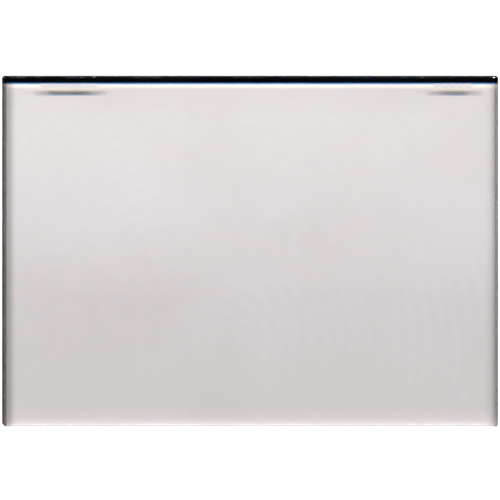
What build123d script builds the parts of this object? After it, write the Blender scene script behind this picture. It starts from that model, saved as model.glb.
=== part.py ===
from build123d import *
import os

# Clear rectangular optical filter in the 4 x 5.65 inch format, for the tray of a camera's matte box.
#
# The filter is a laminate. Two plates of water-white glass are bonded face to face with a clear resin
# layer, ground and polished as one to 4 mm, and sealed with lacquer where the bond line meets the rim. Two
# small etched marks lie in the front face, close to the edge that stays uppermost in the tray.
#
# Frame: X along the long sides, +Y towards the marked edge, +Z out of the front face. The origin is the
# middle of the rear face, which the filter lies on. Units are millimetres.

INCH = 25.4

# Format
LENGTH = 5.65 * INCH
WIDTH = 4.0 * INCH
THICKNESS = 4.0

# Lamination
BOND_THICKNESS = 0.2
PLATE_THICKNESS = (THICKNESS - BOND_THICKNESS) / 2
BOND_BOTTOM = PLATE_THICKNESS
BOND_TOP = PLATE_THICKNESS + BOND_THICKNESS

# Edge work
OUTER_ARRIS = 0.5
INNER_ARRIS = 0.15
BOND_INSET = 0.3
SEAL_SETBACK = 0.05

# Corners are dubbed by hand, so each has its own size. Anticlockwise: (side in X, side in Y, leg of the cut)
CORNER_DUBS = [(-1, -1, 0.9), (1, -1, 0.45), (1, 1, 0.6), (-1, 1, 0.6)]

# Etched marks: rows of open boxes along the marked edge, each placed from its own short side
ETCH_DEPTH = 0.06
FROST_THICKNESS = 0.04
STROKE = 0.44
MARK_FROM_EDGE = 2.95
LEFT_MARK_START = 11.3
LEFT_MARK_LENGTH = 16.0
LEFT_BOX = (1.5, 1.15)
LEFT_BOX_COUNT = 9
RIGHT_MARK_START = 7.8
RIGHT_MARK_LENGTH = 10.8
RIGHT_BOX = (1.75, 1.2)
RIGHT_BOX_COUNT = 5


def plate_outline(inset=0.0):
    """The filter's outline with its dubbed corners, moved inwards by inset."""
    shrink = inset * (2 - 2**0.5)
    points = []
    for side_x, side_y, dub in CORNER_DUBS:
        corner_x = side_x * (LENGTH / 2 - inset)
        corner_y = side_y * (WIDTH / 2 - inset)
        leg = dub - shrink
        along_x = (corner_x - side_x * leg, corner_y)
        along_y = (corner_x, corner_y - side_y * leg)
        points += [along_y, along_x] if side_x == side_y else [along_x, along_y]
    return make_face(Polyline(*points, close=True))


def slab(bottom, top, inset=0.0):
    """A flat plate of the filter's outline between two heights."""
    return extrude(Pos(0, 0, bottom) * plate_outline(inset), top - bottom)


def perimeter(plate, height):
    """The edges of the plate that lie all round at one height."""
    return plate.edges().filter_by_position(Axis.Z, height, height)


def broken_edges(plate, outer_height, inner_height):
    """The plate with its outside edges ground to arrises and its inside edges just broken."""
    plate = chamfer(perimeter(plate, outer_height), OUTER_ARRIS)
    return chamfer(perimeter(plate, inner_height), INNER_ARRIS)


def open_box(width, height):
    """One unit of a mark: a rectangular ring of the stroke's width."""
    return Rectangle(width, height) - Rectangle(width - 2 * STROKE, height - 2 * STROKE)


def mark_faces(side, start, length, box, count):
    """A mark's open boxes, as flat faces on the floor of their recess. The row starts inside a short side."""
    width, height = box
    pitch = (length - width) / (count - 1)
    y = WIDTH / 2 - MARK_FROM_EDGE
    z = THICKNESS - ETCH_DEPTH
    inwards = [LENGTH / 2 - start - width / 2 - i * pitch for i in range(count)]
    return [Pos(side * x, y, z) * open_box(width, height) for x in inwards]


def left_mark_faces():
    return mark_faces(-1, LEFT_MARK_START, LEFT_MARK_LENGTH, LEFT_BOX, LEFT_BOX_COUNT)


def right_mark_faces():
    return mark_faces(1, RIGHT_MARK_START, RIGHT_MARK_LENGTH, RIGHT_BOX, RIGHT_BOX_COUNT)


def raised(faces, height):
    """Each face as a solid of its own, raised by height."""
    return [extrude(face, height) for face in faces]


def front_plate():
    plate = broken_edges(slab(BOND_TOP, THICKNESS), THICKNESS, BOND_TOP)
    for recess in raised(left_mark_faces() + right_mark_faces(), ETCH_DEPTH):
        plate -= recess
    return plate


def rear_plate():
    return broken_edges(slab(0, BOND_BOTTOM), 0, BOND_BOTTOM)


def bond_layer():
    return slab(BOND_BOTTOM, BOND_TOP, BOND_INSET)


def edge_seal():
    """Lacquer in the groove that the two inner arrises leave round the rim, a little below the glass."""
    bead = slab(BOND_BOTTOM - INNER_ARRIS, BOND_TOP + INNER_ARRIS, SEAL_SETBACK)
    unetched_front = broken_edges(slab(BOND_TOP, THICKNESS), THICKNESS, BOND_TOP)
    return bead - rear_plate() - unetched_front - bond_layer()


def etched_frost(faces):
    """The frosted skin on the floor of each etched stroke."""
    return Compound(raised(faces, FROST_THICKNESS))


def write(name, shape):
    export_step(shape, f"parts/{name}.step")


os.makedirs("parts", exist_ok=True)
write("front_plate", front_plate())
write("rear_plate", rear_plate())
write("bond_layer", bond_layer())
write("edge_seal", edge_seal())
write("left_etched_mark", etched_frost(left_mark_faces()))
write("right_etched_mark", etched_frost(right_mark_faces()))
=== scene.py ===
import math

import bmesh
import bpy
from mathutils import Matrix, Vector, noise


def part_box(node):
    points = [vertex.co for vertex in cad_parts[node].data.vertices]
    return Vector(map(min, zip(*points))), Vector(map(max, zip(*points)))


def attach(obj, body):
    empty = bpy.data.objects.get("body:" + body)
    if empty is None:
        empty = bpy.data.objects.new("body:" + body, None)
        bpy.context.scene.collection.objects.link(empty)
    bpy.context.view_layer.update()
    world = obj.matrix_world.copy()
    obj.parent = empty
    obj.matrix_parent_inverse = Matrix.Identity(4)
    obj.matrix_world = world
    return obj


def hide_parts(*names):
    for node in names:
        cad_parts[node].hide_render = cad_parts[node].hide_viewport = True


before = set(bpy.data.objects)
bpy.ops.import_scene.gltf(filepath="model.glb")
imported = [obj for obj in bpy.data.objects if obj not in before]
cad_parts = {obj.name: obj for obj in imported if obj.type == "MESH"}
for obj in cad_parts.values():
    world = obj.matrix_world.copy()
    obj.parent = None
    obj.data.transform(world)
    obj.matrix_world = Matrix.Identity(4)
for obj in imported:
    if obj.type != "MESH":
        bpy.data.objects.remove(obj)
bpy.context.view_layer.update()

# Clear rectangular optical filter: two glass plates, the resin that bonds them, the lacquer bead that seals
# the bond line, and two frosted marks etched in the front face. It lies on a grey card of its own outline, on
# a pale floor, under rows of panel lights, and the camera looks straight down on it. Lengths are metres, in
# the frame of the CAD model.

MM = 0.001

# Driving sizes, from the frame
FRONT_LOW, FRONT_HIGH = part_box("front_plate")
REAR_LOW, REAR_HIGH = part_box("rear_plate")
HALF_LENGTH = FRONT_HIGH.x
HALF_WIDTH = FRONT_HIGH.y
TOP = FRONT_HIGH.z
BOTTOM = REAR_LOW.z
PLATE = TOP - FRONT_LOW.z
BOND_TOP = FRONT_LOW.z
BOND_BOTTOM = REAR_HIGH.z

# Edge work
ARRIS = 0.5 * MM
ARRIS_EASING = 0.3 * MM
RIM_EASING = 0.15 * MM
INNER_ARRIS = 0.15 * MM
BOND_INSET = 0.3 * MM
SEAL_SETBACK = 0.05 * MM
MENISCUS = 0.03 * MM
CAP_MARGIN = 0.3 * MM
# How far a hand-ground arris departs from its nominal width, as a share of it, and over what lengths
ARRIS_WANDER = 0.1
WANDER_LENGTH = 14 * MM
WANDER_TAPER = 6 * MM
# The arris of the right side was ground wider: by these shares at its plain and its marked end
RIGHT_SIDE = 1
RIGHT_ARRIS_EXTRA = (0.15, 0.50)
EXTRA_TAPER = 2.5 * MM
STEP_ALONG_RIM = 2 * MM
SHARP_ANGLE = math.radians(30)
EASING_STEPS = 8
# From the corner of an arris to where its easing starts, as a share of the easing's radius
TANGENT = math.tan(math.radians(22.5))

# Corners are dubbed by hand: (side in X, side in Y, leg of the cut), anticlockwise
CORNER_DUBS = [(-1, -1, 0.9 * MM), (1, -1, 0.45 * MM), (1, 1, 0.6 * MM), (-1, 1, 0.6 * MM)]
LEAST_DUB = 0.03 * MM

# Clear solids in optical contact run into each other by this much, so that light passes between them
CONTACT = 0.005 * MM

# Etched marks
STROKE = 0.44 * MM
LEFT_BOX_COUNT = 9
RIGHT_BOX_COUNT = 5
LEFT_BOX_WIDTH = 1.5 * MM
RIGHT_BOX_WIDTH = 1.75 * MM
FROST_CLEARANCE = 0.01 * MM
ETCH_CUTTER_HEIGHT = 0.2 * MM

# Stage
CARD_GAP = 0.02 * MM
CARD_INSET = 0.3 * MM
FLOOR_GAP = 1.5 * CARD_GAP
FLOOR_HALF = 12.0
CAMERA_HEIGHT = 1.6
FRAME_WIDTH = 144.47 * MM
CAMERA_SHIFT_Y = 0.31 * MM
SENSOR = 36.0


# ---------------------------------------------------------------- meshes

def dubbed_corners(inset):
    """The outline's eight corner points at an inset, as (first, second) point of each dub, anticlockwise."""
    corners = []
    for side_x, side_y, dub in CORNER_DUBS:
        x = side_x * (HALF_LENGTH - inset)
        y = side_y * (HALF_WIDTH - inset)
        leg = max(dub - inset * (2 - math.sqrt(2)), LEAST_DUB)
        along_x = Vector((x - side_x * leg, y, 0))
        along_y = Vector((x, y - side_y * leg, 0))
        corners.append((along_y, along_x) if side_x == side_y else (along_x, along_y))
    return corners


def wander(point, from_end):
    """How far a hand-ground arris departs from its nominal width at a point of the outline."""
    taper = min(1.0, from_end / WANDER_TAPER)
    return ARRIS_WANDER * taper * noise.noise(point / WANDER_LENGTH)


def ring_points(inset, wandering):
    """Points round the plate at an inset. On a wandering ring the inset varies a little along each side."""
    corners = dubbed_corners(inset)
    points = []
    for k, (first, second) in enumerate(corners):
        points.append(first)
        next_first = corners[(k + 1) % len(corners)][0]
        side = next_first - second
        steps = max(1, round(dubbed_length(k) / STEP_ALONG_RIM))
        inwards = Vector((-side.y, side.x, 0)).normalized()
        for i in range(steps):
            point = second + side * (i / steps)
            if wandering:
                from_end = min((point - second).length, (next_first - point).length)
                departure = wander(point, from_end)
                if k == RIGHT_SIDE:
                    plain, marked = RIGHT_ARRIS_EXTRA
                    taper = min(1.0, from_end / EXTRA_TAPER)
                    departure += (plain + (marked - plain) * i / steps) * taper
                point = point + inwards * (inset * departure)
            points.append(point)
    return points


def dubbed_length(k):
    """The nominal length of the k-th side, which sets its number of steps."""
    return 2 * (HALF_LENGTH if k % 2 == 0 else HALF_WIDTH)


def ring(bm, inset, z, wandering=False):
    return [bm.verts.new((p.x, p.y, z)) for p in ring_points(inset, wandering)]


def bridge(bm, lower, upper, material_index=0):
    """Quads between two rings of vertices."""
    for i in range(len(lower)):
        j = (i + 1) % len(lower)
        face = bm.faces.new((lower[i], lower[j], upper[j], upper[i]))
        face.smooth = True
        face.material_index = material_index


def cap(bm, verts, material_index=0):
    face = bm.faces.new(verts)
    face.material_index = material_index


def finish_mesh(bm, name, *materials):
    """Turns a bmesh into a piece of the object, with its faces outwards and its hard edges sharp."""
    bmesh.ops.recalc_face_normals(bm, faces=bm.faces)
    for edge in bm.edges:
        if len(edge.link_faces) == 2 and edge.calc_face_angle() > SHARP_ANGLE:
            edge.smooth = False
    mesh = bpy.data.meshes.new(name)
    bm.to_mesh(mesh)
    bm.free()
    for material in materials:
        mesh.materials.append(material)
    piece = bpy.data.objects.new(name, mesh)
    bpy.context.scene.collection.objects.link(piece)
    return piece


def plate_profile():
    """A plate's section from its outer to its inner face: (inset, depth below the outer face, material index).

    The arris is eased into the polished face and, more tightly, into the rim.
    """
    face_tangent = ARRIS_EASING * TANGENT
    rim_tangent = RIM_EASING * TANGENT
    face_start = ARRIS + face_tangent
    rim_start = ARRIS + rim_tangent
    section = [(face_start + CAP_MARGIN, 0.0, FACE)]
    for i in range(EASING_STEPS + 1):
        angle = math.radians(45 * i / EASING_STEPS)
        inset = face_start - ARRIS_EASING * math.sin(angle)
        depth = ARRIS_EASING * (1 - math.cos(angle))
        section.append((inset, depth, FACE if i == 0 else GROUND))
    for i in range(EASING_STEPS // 2 + 1):
        angle = math.radians(45 + 45 * i / (EASING_STEPS // 2))
        inset = RIM_EASING * (1 - math.sin(angle))
        depth = rim_start - RIM_EASING * math.cos(angle)
        section.append((inset, depth, GROUND))
    section.append((0.0, PLATE - INNER_ARRIS, RIM))
    section.append((INNER_ARRIS, PLATE, RIM))
    return section


def glass_plate(name, outer_z, inward, materials):
    """A plate whose outer face is at outer_z, and whose depth runs along inward, which is 1 or -1 in Z."""
    bm = bmesh.new()
    section = plate_profile()
    eased = ARRIS + ARRIS_EASING * TANGENT + CAP_MARGIN / 2
    rings = []
    for inset, depth, _ in section:
        wandering = 0 < inset < eased and depth < PLATE / 2
        rings.append(ring(bm, inset, outer_z + inward * depth, wandering))
    for k in range(len(rings) - 1):
        bridge(bm, rings[k], rings[k + 1], section[k + 1][2])
    cap(bm, rings[0], FACE)
    cap(bm, rings[-1], CONTACT_FACE)
    return finish_mesh(bm, name, *materials)


def flat_slab(name, inset, low, high, material):
    bm = bmesh.new()
    lower = ring(bm, inset, low)
    upper = ring(bm, inset, high)
    bridge(bm, lower, upper)
    cap(bm, lower)
    cap(bm, upper)
    return finish_mesh(bm, name, material)


def seal_bead(name, material):
    """The lacquer bead: it fills the groove of the two inner arrises and ends in a slightly hollow face."""
    middle = (BOND_TOP + BOND_BOTTOM) / 2
    half = (BOND_TOP - BOND_BOTTOM) / 2 + CONTACT
    mouth = half + INNER_ARRIS - SEAL_SETBACK
    section = [
        (BOND_INSET + CONTACT, middle - half),
        (INNER_ARRIS, middle - half),
        (SEAL_SETBACK, middle - mouth),
        (SEAL_SETBACK + MENISCUS * 0.75, middle - mouth / 2),
        (SEAL_SETBACK + MENISCUS, middle),
        (SEAL_SETBACK + MENISCUS * 0.75, middle + mouth / 2),
        (SEAL_SETBACK, middle + mouth),
        (INNER_ARRIS, middle + half),
        (BOND_INSET + CONTACT, middle + half),
    ]
    bm = bmesh.new()
    rings = [ring(bm, inset, z) for inset, z in section]
    for k in range(len(rings)):
        bridge(bm, rings[k], rings[(k + 1) % len(rings)])
    return finish_mesh(bm, name, material)


def mark_boxes(node, count, box_width):
    """(centre x, centre y, half width, half height) of each open box of a mark, spread over its CAD node."""
    low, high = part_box(node)
    half_width = box_width / 2
    half_height = (high.y - low.y) / 2
    pitch = (high.x - low.x - box_width) / (count - 1)
    y = (low.y + high.y) / 2
    return [(low.x + half_width + i * pitch, y, half_width, half_height) for i in range(count)]


def box_ring(bm, centre_x, centre_y, half_width, half_height, low, high, shrink, foot_index=0):
    """A closed rectangular ring of the stroke's width, drawn in by shrink on all its sides."""
    loops = []
    for extra in (-shrink, shrink - STROKE):
        for z in (low, high):
            corners = [(-1, -1), (1, -1), (1, 1), (-1, 1)]
            loops.append([
                bm.verts.new((centre_x + a * (half_width + extra), centre_y + b * (half_height + extra), z))
                for a, b in corners
            ])
    outer_low, outer_high, inner_low, inner_high = loops
    for first, second, index in (
        (outer_low, outer_high, 0),
        (inner_low, inner_high, 0),
        (outer_high, inner_high, 0),
        (outer_low, inner_low, foot_index),
    ):
        for i in range(4):
            j = (i + 1) % 4
            face = bm.faces.new((first[i], first[j], second[j], second[i]))
            face.material_index = index


def frosted_mark(name, node, boxes, materials):
    low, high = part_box(node)
    bm = bmesh.new()
    for box in boxes:
        box_ring(bm, *box, low.z - CONTACT, high.z, FROST_CLEARANCE, foot_index=1)
    return finish_mesh(bm, name, *materials)


def etch(plate, boxes, floor_z):
    """Sinks the marks' strokes in the plate's outer face."""
    bm = bmesh.new()
    for box in boxes:
        box_ring(bm, *box, floor_z, TOP + ETCH_CUTTER_HEIGHT, 0.0)
    cutter = finish_mesh(bm, "etch_cutter", plate.data.materials[CONTACT_FACE])
    modifier = plate.modifiers.new("etch", "BOOLEAN")
    modifier.operation = "DIFFERENCE"
    modifier.solver = "EXACT"
    modifier.material_mode = "TRANSFER"
    modifier.object = cutter
    bpy.context.view_layer.update()
    etched = bpy.data.meshes.new_from_object(plate.evaluated_get(bpy.context.evaluated_depsgraph_get()))
    etched.name = plate.name
    plate.modifiers.clear()
    plate.data = etched
    bpy.data.objects.remove(cutter)


# ---------------------------------------------------------------- materials

class Nodes:
    """A small helper to build a material's nodes."""

    def __init__(self, name):
        self.material = bpy.data.materials.new(name)
        self.material.use_nodes = True
        self.tree = self.material.node_tree
        self.shader = self.tree.nodes["Principled BSDF"]

    def add(self, kind, **values):
        node = self.tree.nodes.new(kind)
        for key, value in values.items():
            setattr(node, key, value)
        return node

    def link(self, output, socket):
        self.tree.links.new(output, socket)

    def set(self, **values):
        """Sets the shader's sockets: spaces in a socket's name are written as underscores."""
        for key, value in values.items():
            self.shader.inputs[key.replace("_", " ")].default_value = value

    def place(self):
        """Object coordinates, which stay with the piece."""
        return self.add("ShaderNodeTexCoord").outputs["Object"]

    def noise(self, scale, detail=3.0, roughness=0.5):
        node = self.add("ShaderNodeTexNoise")
        node.inputs["Scale"].default_value = scale
        node.inputs["Detail"].default_value = detail
        node.inputs["Roughness"].default_value = roughness
        self.link(self.place(), node.inputs["Vector"])
        return node.outputs["Fac"]

    def ramp(self, value, *stops):
        """A colour ramp through (position, colour) stops."""
        node = self.add("ShaderNodeValToRGB")
        elements = node.color_ramp.elements
        while len(elements) < len(stops):
            elements.new(1.0)
        for element, (position, colour) in zip(elements, stops):
            element.position = position
            element.color = (*colour, 1.0)
        self.link(value, node.inputs["Fac"])
        return node.outputs["Color"]

    def spread(self, value, low, high, from_low=0.3, from_high=0.7):
        """Maps a value's usual range to low..high."""
        node = self.add("ShaderNodeMapRange")
        numbers = {"From Min": from_low, "From Max": from_high, "To Min": low, "To Max": high}
        for key, number in numbers.items():
            node.inputs[key].default_value = number
        self.link(value, node.inputs["Value"])
        return node.outputs["Result"]

    def mix(self, factor, first, second, blend_type="MIX"):
        """Mixes two colours by a factor. Each is another node's output, or a plain value."""
        node = self.add("ShaderNodeMix", data_type="RGBA", blend_type=blend_type)
        sockets = (node.inputs["Factor"], node.inputs[6], node.inputs[7])
        for value, socket in zip((factor, first, second), sockets):
            if isinstance(value, float):
                socket.default_value = value
            elif isinstance(value, tuple):
                socket.default_value = (*value, 1.0)
            else:
                self.link(value, socket)
        return node.outputs[2]

    def let_light_through(self, tint):
        """Lamp light runs straight through the surface, times a tint. Every other ray meets the shader."""
        output = self.tree.nodes["Material Output"]
        path = self.add("ShaderNodeLightPath")
        clear = self.add("ShaderNodeBsdfTransparent")
        either = self.add("ShaderNodeMixShader")
        if isinstance(tint, tuple):
            clear.inputs["Color"].default_value = (*tint, 1.0)
        else:
            self.link(tint, clear.inputs["Color"])
        self.link(path.outputs["Is Shadow Ray"], either.inputs["Fac"])
        self.link(self.shader.outputs["BSDF"], either.inputs[1])
        self.link(clear.outputs["BSDF"], either.inputs[2])
        self.link(either.outputs["Shader"], output.inputs["Surface"])

    def inset_from(self, axis, side):
        """How far inside the plate's outline a point lies, from the edge on one side (1 or -1) of an axis."""
        split = self.add("ShaderNodeSeparateXYZ")
        self.link(self.place(), split.inputs["Vector"])
        inset = self.add("ShaderNodeMath", operation="MULTIPLY_ADD")
        self.link(split.outputs[axis], inset.inputs[0])
        inset.inputs[1].default_value = -side
        inset.inputs[2].default_value = HALF_LENGTH if axis == "X" else HALF_WIDTH
        return inset.outputs["Value"]

    def bump(self, height, distance):
        node = self.add("ShaderNodeBump")
        node.inputs["Distance"].default_value = distance
        self.link(height, node.inputs["Height"])
        self.link(node.outputs["Normal"], self.shader.inputs["Normal"])


GLASS_IOR = 1.52
COATED = (0.10, 0.17, 0.13, 1.0)
UNCOATED = (1.0, 1.0, 1.0, 1.0)
# Lamp light takes the straight way through the glass to the card. What the glass does to it is set by fitted
# shading values, not traced: the edge shade, the openings and the gains below. Light that enters by a rim, or
# by the outer part of an arris, is caught inside the glass, and hardly any of it reaches the card.
EDGE_SHADE = (0.002, 0.002, 0.003)
# How far inside the outline an arris begins to let lamp light through, and over what width that changes
MARKED_OPENING = 0.29 * MM
RIGHT_OPENING = 0.45 * MM
LEFT_OPENING = 0.65 * MM
OPENING_WIDTH = 0.06 * MM
# (distance from the marked edge, how much lamp light counts there)
EDGE_GAIN = [
    (0.53 * MM, 1.18),
    (0.89 * MM, 1.50),
    (1.19 * MM, 1.22),
    (1.49 * MM, 0.97),
    (2 * HALF_WIDTH - 6.0 * MM, 0.97),
    (2 * HALF_WIDTH - 4.2 * MM, 1.02),
    (2 * HALF_WIDTH - 2.8 * MM, 1.08),
    (2 * HALF_WIDTH - 2.1 * MM, 1.10),
    (2 * HALF_WIDTH - 1.2 * MM, 1.20),
    (2 * HALF_WIDTH - 0.7 * MM, 1.33),
    (2 * HALF_WIDTH - 0.4 * MM, 1.85),
]
# Painted shade along the left side of the faces: how far in it reaches, how wide it fades, how far its edge
# wanders
LEFT_SHADE_MARGIN = 1.15 * MM
LEFT_SHADE_FADE = 0.35 * MM
LEFT_SHADE_WANDER = 0.06 * MM
# Over these distances from a short side, the arrises go from that side's painted shade to the long sides'
# clear tint
SIDE_SHADE_REACH = (1.0 * MM, 1.3 * MM)


def clear_solid(name, reflection):
    """A clear dielectric. reflection tints what it mirrors head-on: faintly green for a coated face."""
    nodes = Nodes(name)
    nodes.set(Transmission_Weight=1.0, IOR=GLASS_IOR, Roughness=0.0, Specular_Tint=reflection)
    return nodes


def lamp_light_across(nodes):
    """How much lamp light counts, from the marked edge to the plain one."""
    across = nodes.spread(nodes.inset_from("Y", 1), 0.0, 1.0, 0.0, 2 * HALF_WIDTH)
    stops = [(inset / (2 * HALF_WIDTH), (gain, gain, gain)) for inset, gain in EDGE_GAIN]
    return nodes.ramp(across, *stops)


def coated_glass():
    """Polished and coated faces: nearly colourless, faintly uneven, with a trace of handling haze.

    Near the left side the faces are painted a darker brown-grey, a painted shade. The polished arrises of the
    long edges throw their light on top of what comes in beside them, so lamp light counts for more there, by
    EDGE_GAIN.
    """
    nodes = clear_solid("coated_glass", COATED)
    clean = nodes.ramp(nodes.noise(22.0), (0.3, (0.925, 0.905, 0.895)), (0.7, (0.940, 0.918, 0.912)))
    # Painted shade: within the left margin the faces turn a darker brown-grey, with a wandering edge
    left_painted_shade_stops = (0.3, (0.38, 0.34, 0.32)), (0.7, (0.52, 0.48, 0.45))
    left_painted_shade = nodes.ramp(nodes.noise(700.0, detail=4.0), *left_painted_shade_stops)
    wandering = nodes.add("ShaderNodeMath", operation="ADD")
    nodes.link(nodes.inset_from("X", -1), wandering.inputs[0])
    nodes.link(nodes.spread(nodes.noise(110.0), -LEFT_SHADE_WANDER, LEFT_SHADE_WANDER), wandering.inputs[1])
    left_shade_mask = nodes.spread(wandering.outputs["Value"], 0.0, 1.0, LEFT_SHADE_MARGIN, LEFT_SHADE_MARGIN + LEFT_SHADE_FADE)
    nodes.link(nodes.mix(left_shade_mask, left_painted_shade, clean), nodes.shader.inputs["Base Color"])
    haze = nodes.spread(nodes.noise(55.0, detail=6.0, roughness=0.65), 0.0, 0.012, 0.55, 0.8)
    nodes.link(haze, nodes.shader.inputs["Roughness"])
    nodes.let_light_through(lamp_light_across(nodes))
    return nodes.material


def ground_glass():
    """The arrises: fine-ground, then polished bright, and painted darker on the short sides, a brown painted
    shade.
    """
    nodes = clear_solid("ground_arris", UNCOATED)
    grain = nodes.noise(900.0, detail=5.0)
    # Painted shade: dark brown on the left arris, brown-grey on the right one, clear on the long sides
    left = nodes.ramp(grain, (0.3, (0.10, 0.09, 0.08)), (0.7, (0.19, 0.17, 0.15)))
    clean = nodes.ramp(grain, (0.3, (0.93, 0.91, 0.90)), (0.7, (1.0, 0.99, 0.98)))
    right = nodes.ramp(grain, (0.3, (0.38, 0.35, 0.33)), (0.7, (0.56, 0.52, 0.49)))
    from_left = nodes.spread(nodes.inset_from("X", -1), 0.0, 1.0, *SIDE_SHADE_REACH)
    from_right = nodes.spread(nodes.inset_from("X", 1), 0.0, 1.0, *SIDE_SHADE_REACH)
    colour = nodes.mix(from_right, right, nodes.mix(from_left, left, clean))
    nodes.link(colour, nodes.shader.inputs["Base Color"])
    nodes.link(nodes.spread(nodes.noise(1400.0, detail=4.0), 0.02, 0.09), nodes.shader.inputs["Roughness"])
    nodes.bump(nodes.noise(2600.0, detail=2.0), 0.0015 * MM)
    light = lamp_light_across(nodes)
    openings = (("Y", 1, MARKED_OPENING), ("X", 1, RIGHT_OPENING), ("X", -1, LEFT_OPENING))
    for axis, side, opening in openings:
        inset = nodes.inset_from(axis, side)
        opened = nodes.spread(inset, 0.0, 1.0, opening, opening + OPENING_WIDTH)
        light = nodes.mix(opened, EDGE_SHADE, light)
    nodes.let_light_through(light)
    return nodes.material


def rim_glass():
    """The rims: polished less finely than the faces, and darkened to a dull amber, a painted shade."""
    nodes = clear_solid("rim_glass", UNCOATED)
    # Painted shade: the rims are tinted a dull amber
    tint = nodes.ramp(nodes.noise(500.0, detail=5.0), (0.3, (0.62, 0.56, 0.50)), (0.7, (0.78, 0.73, 0.68)))
    nodes.link(tint, nodes.shader.inputs["Base Color"])
    nodes.link(nodes.spread(nodes.noise(1100.0, detail=4.0), 0.03, 0.12), nodes.shader.inputs["Roughness"])
    nodes.bump(nodes.noise(1800.0, detail=2.0), 0.002 * MM)
    nodes.let_light_through(EDGE_SHADE)
    return nodes.material


def index_matched(name):
    """A surface where two solids of the same index meet: light runs straight on, slightly tinted."""
    nodes = Nodes(name)
    surface = nodes.add("ShaderNodeBsdfTransparent")
    output = nodes.tree.nodes["Material Output"]
    nodes.link(surface.outputs["BSDF"], output.inputs["Surface"])
    nodes.tree.nodes.remove(nodes.shader)
    nodes.shader = surface
    return nodes


def contact_glass():
    """Glass faces in optical contact with resin or frost, which mirror nothing."""
    nodes = index_matched("contact_glass")
    tint = nodes.ramp(nodes.noise(30.0), (0.3, (0.992, 0.990, 0.988)), (0.7, (1.0, 0.998, 0.996)))
    nodes.link(tint, nodes.shader.inputs["Color"])
    return nodes.material


RING_CENTRE_OFFSET = (9.5 * MM, 27.0 * MM, 0.0)
RING_SCALE = 75.0
RING_DISTORTION = 2.5


def bond_resin():
    """The resin: its thickness varies by a few wavelengths, seen as the faintest rings and mottling."""
    nodes = index_matched("bond_resin")
    offset = nodes.add("ShaderNodeMapping")
    offset.inputs["Location"].default_value = RING_CENTRE_OFFSET
    nodes.link(nodes.place(), offset.inputs["Vector"])
    rings = nodes.add("ShaderNodeTexWave", wave_type="RINGS", rings_direction="Z")
    rings.inputs["Scale"].default_value = RING_SCALE
    rings.inputs["Distortion"].default_value = RING_DISTORTION
    rings.inputs["Detail"].default_value = 1.0
    nodes.link(offset.outputs["Vector"], rings.inputs["Vector"])
    ring_stops = (0.0, (0.993, 0.992, 0.993)), (1.0, (0.999, 0.999, 0.998))
    ring_tint = nodes.ramp(rings.outputs["Fac"], *ring_stops)
    plain_tint = nodes.ramp(nodes.noise(260.0), (0.3, (0.988, 0.986, 0.984)), (0.7, (0.998, 0.996, 0.994)))
    patches = nodes.spread(nodes.noise(24.0, detail=1.0), 0.0, 1.0, 0.42, 0.62)
    nodes.link(nodes.mix(patches, plain_tint, ring_tint), nodes.shader.inputs["Color"])
    return nodes.material


def edge_lacquer():
    nodes = Nodes("edge_lacquer")
    brown_stops = (0.3, (0.020, 0.014, 0.011)), (0.7, (0.060, 0.044, 0.033))
    brown = nodes.ramp(nodes.noise(700.0, detail=4.0), *brown_stops)
    nodes.link(brown, nodes.shader.inputs["Base Color"])
    nodes.link(nodes.spread(nodes.noise(1500.0), 0.18, 0.40), nodes.shader.inputs["Roughness"])
    nodes.set(Coat_Weight=0.4, Coat_Roughness=0.15)
    nodes.bump(nodes.noise(1200.0, detail=3.0), 0.01 * MM)
    return nodes.material


def etched_frost():
    """Acid-etched strokes: a fine crystalline frost, pale grey, which lets little light straight through."""
    nodes = Nodes("etched_frost")
    grain = nodes.noise(9000.0, detail=4.0, roughness=0.7)
    tint = nodes.ramp(grain, (0.3, (0.195, 0.194, 0.196)), (0.7, (0.275, 0.274, 0.276)))
    nodes.link(tint, nodes.shader.inputs["Base Color"])
    nodes.link(nodes.spread(nodes.noise(4000.0), 0.55, 0.80), nodes.shader.inputs["Roughness"])
    nodes.set(IOR=GLASS_IOR, Specular_IOR_Level=0.2)
    nodes.bump(grain, 0.008 * MM)
    return nodes.material


def card(name, shades, glow):
    """Matt card, graded from the marked edge to the plain edge by (share of the way, albedo) stops: painted
    shade on the grey card.

    The floor glows a little, like the lit table of a product studio, so that it stays white.
    """
    nodes = Nodes(name)
    across = nodes.spread(nodes.inset_from("Y", 1), 0.0, 1.0, 0.0, 2 * HALF_WIDTH)
    fibre_stops = (0.35, (0.985, 0.985, 0.985)), (0.65, (1.0, 1.0, 1.0))
    fibres = nodes.ramp(nodes.noise(420.0, detail=4.0), *fibre_stops)
    tint = nodes.mix(1.0, nodes.ramp(across, *shades), fibres, "MULTIPLY")
    nodes.link(tint, nodes.shader.inputs["Base Color"])
    nodes.set(Roughness=0.9, Specular_IOR_Level=0.0, Emission_Color=(1, 1, 1, 1), Emission_Strength=glow)
    nodes.material.cycles.emission_sampling = "NONE"
    return nodes.material


# ---------------------------------------------------------------- stage, light and camera

# Painted shade: the grey card's albedo falls off away from the marked edge, as the lamp light does, and warms
# near the plain edge
CARD_PAINTED_SHADE = [
    (0.04, (0.322, 0.330, 0.329)),
    (0.13, (0.331, 0.344, 0.335)),
    (0.36, (0.327, 0.337, 0.338)),
    (0.50, (0.318, 0.327, 0.325)),
    (0.64, (0.298, 0.304, 0.303)),
    (0.93, (0.297, 0.309, 0.302)),
    (0.965, (0.298, 0.300, 0.296)),
    (0.99, (0.298, 0.295, 0.291)),
]
FLOOR_SHADES = [(0.0, (0.345, 0.345, 0.345)), (1.0, (0.350, 0.350, 0.350))]
FLOOR_GLOW = 1.0
LIGHT_DISTANCE = 0.9
LIGHT_AIM = Vector((0, 48 * MM, 0))
LIGHT_RADIANCE = 83.6
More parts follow.
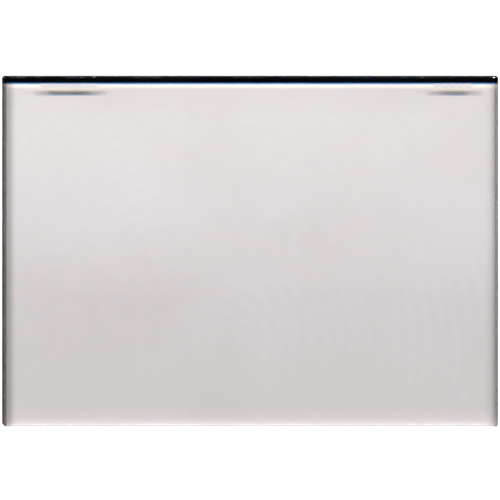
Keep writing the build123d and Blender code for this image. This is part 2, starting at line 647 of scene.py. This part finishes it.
# The lights are panels, laid out by the slopes of the shadows they throw through the glass: across, and away
# from the marked edge. (nearest and furthest slope across, weight on the left, weight on the right):
PANEL_COLUMNS = [
    (0.00, 0.24, 0.30, 0.30),
    (0.24, 0.40, 0.40, 1.15),
    (0.40, 0.58, 0.70, 0.75),
    (0.58, 0.76, 0.85, 0.30),
    (0.76, 0.95, 0.60, 0.20),
]
# (smallest and largest slope away from the marked edge, colour). The rows' colours stand in for the way the
# glass spreads light like a weak prism.
PANEL_ROWS = [
    (0.425, 0.50, (0.03, 0.27, 0.75)),
    (0.50, 0.565, (0.92, 0.76, 0.42)),
    (0.565, 0.625, (0.74, 0.55, 0.37)),
]
WORLD_DARK = 0.01
WORLD_PALE = 0.9
# Heights of the sky, as the Z part of a direction, between which it goes from pale to dark
PALE_BELOW = 0.03
DARK_ABOVE = 0.10


def plane(name, verts, material):
    mesh = bpy.data.meshes.new(name)
    mesh.from_pydata(verts, [], [tuple(range(len(verts)))])
    mesh.materials.append(material)
    piece = bpy.data.objects.new(name, mesh)
    bpy.context.scene.collection.objects.link(piece)


def make_stage():
    outline = [point for pair in dubbed_corners(CARD_INSET) for point in pair]
    plane("card", [(p.x, p.y, -CARD_GAP) for p in outline], card("grey_card", CARD_PAINTED_SHADE, 0.0))
    corners = [(-1, -1), (1, -1), (1, 1), (-1, 1)]
    floor = [(a * FLOOR_HALF, b * FLOOR_HALF, -FLOOR_GAP) for a, b in corners]
    plane("floor", floor, card("pale_floor", FLOOR_SHADES, FLOOR_GLOW))


def towards_light(slope_x, slope_y):
    """The direction towards a light that throws shadows with these slopes."""
    return Vector((slope_x, slope_y, 1)).normalized()


def panel_light(name, left, right, near, far, weight, colour):
    """A flat panel over a rectangle of slopes, at a radiance that makes each step of slope count the same."""
    slope_x, slope_y = (left + right) / 2, (near + far) / 2
    middle = towards_light(slope_x, slope_y)
    across = towards_light(right, slope_y) - towards_light(left, slope_y)
    up = towards_light(slope_x, near) - towards_light(slope_x, far)
    light = bpy.data.lights.new(name, "AREA")
    light.shape = "RECTANGLE"
    light.size = LIGHT_DISTANCE * across.length
    light.size_y = LIGHT_DISTANCE * up.length
    radiance = LIGHT_RADIANCE * weight * (1 + slope_x ** 2 + slope_y ** 2) ** 2
    light.energy = radiance * math.pi * light.size * light.size_y
    light.color = colour
    axis_x = (across - middle * across.dot(middle)).normalized()
    axis_y = middle.cross(axis_x)
    lamp = bpy.data.objects.new(name, light)
    lamp.matrix_world = Matrix.LocRotScale(
        LIGHT_AIM + middle * LIGHT_DISTANCE,
        Matrix((axis_x, axis_y, middle)).transposed().to_quaternion(),
        None,
    )
    lamp.visible_camera = False
    bpy.context.scene.collection.objects.link(lamp)


def make_lights():
    for near, far, colour in PANEL_ROWS:
        for inner, outer, left, right in PANEL_COLUMNS:
            panel_light(f"panel_{near}_left_{outer}", -outer, -inner, near, far, left, colour)
            panel_light(f"panel_{near}_right_{outer}", inner, outer, near, far, right, colour)


def make_world():
    """Pale at the horizon, dark above, so that the glass mirrors little but the panels."""
    world = bpy.data.worlds.new("studio")
    bpy.context.scene.world = world
    world.use_nodes = True
    nodes, links = world.node_tree.nodes, world.node_tree.links
    direction = nodes.new("ShaderNodeTexCoord")
    split = nodes.new("ShaderNodeSeparateXYZ")
    ramp = nodes.new("ShaderNodeValToRGB")
    ramp.color_ramp.elements[0].position = PALE_BELOW
    ramp.color_ramp.elements[0].color = (WORLD_PALE, WORLD_PALE, WORLD_PALE, 1)
    ramp.color_ramp.elements[1].position = DARK_ABOVE
    ramp.color_ramp.elements[1].color = (WORLD_DARK, WORLD_DARK, WORLD_DARK, 1)
    links.new(direction.outputs["Generated"], split.inputs["Vector"])
    links.new(split.outputs["Z"], ramp.inputs["Fac"])
    links.new(ramp.outputs["Color"], nodes["Background"].inputs["Color"])


def make_camera():
    camera = bpy.data.cameras.new("camera")
    camera.sensor_width = SENSOR
    camera.lens = SENSOR * CAMERA_HEIGHT / FRAME_WIDTH
    camera.clip_end = 100
    holder = bpy.data.objects.new("camera", camera)
    holder.location = (0, CAMERA_SHIFT_Y, TOP + CAMERA_HEIGHT)
    bpy.context.scene.collection.objects.link(holder)
    bpy.context.scene.camera = holder


def set_light_transport():
    """Paths through the stack of glass and resin are long. Lamp light takes the straight way to the card."""
    scene = bpy.context.scene
    scene.view_settings.view_transform = "Standard"
    scene.cycles.caustics_refractive = False
    scene.cycles.caustics_reflective = False
    scene.cycles.max_bounces = 16
    scene.cycles.transmission_bounces = 12
    scene.cycles.glossy_bounces = 8
    scene.cycles.diffuse_bounces = 4
    scene.cycles.transparent_max_bounces = 48


# ---------------------------------------------------------------- the filter

FACE, GROUND, RIM, CONTACT_FACE = range(4)


def make_filter():
    glass = [coated_glass(), ground_glass(), rim_glass(), contact_glass()]
    left_boxes = mark_boxes("left_etched_mark", LEFT_BOX_COUNT, LEFT_BOX_WIDTH)
    right_boxes = mark_boxes("right_etched_mark", RIGHT_BOX_COUNT, RIGHT_BOX_WIDTH)
    frost = [etched_frost(), glass[CONTACT_FACE]]

    front = glass_plate("front_glass", TOP, -1, glass)
    etch(front, left_boxes + right_boxes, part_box("left_etched_mark")[0].z)
    rear = glass_plate("rear_glass", BOTTOM, 1, glass)
    bond = flat_slab("bond_resin", BOND_INSET, BOND_BOTTOM - CONTACT, BOND_TOP + CONTACT, bond_resin())
    seal = seal_bead("edge_seal_bead", edge_lacquer())
    left = frosted_mark("left_mark_frost", "left_etched_mark", left_boxes, frost)
    right = frosted_mark("right_mark_frost", "right_etched_mark", right_boxes, frost)

    for piece, node, slot in (
        (front, "front_plate", "plate_glass"),
        (rear, "rear_plate", "plate_glass"),
        (bond, "bond_layer", "bond_resin"),
        (seal, "edge_seal", "edge_lacquer"),
        (left, "left_etched_mark", "etched_frost"),
        (right, "right_etched_mark", "etched_frost"),
    ):
        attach(piece, "root")
        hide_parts(node)


make_camera()
make_filter()
make_stage()
make_lights()
make_world()
set_light_transport()
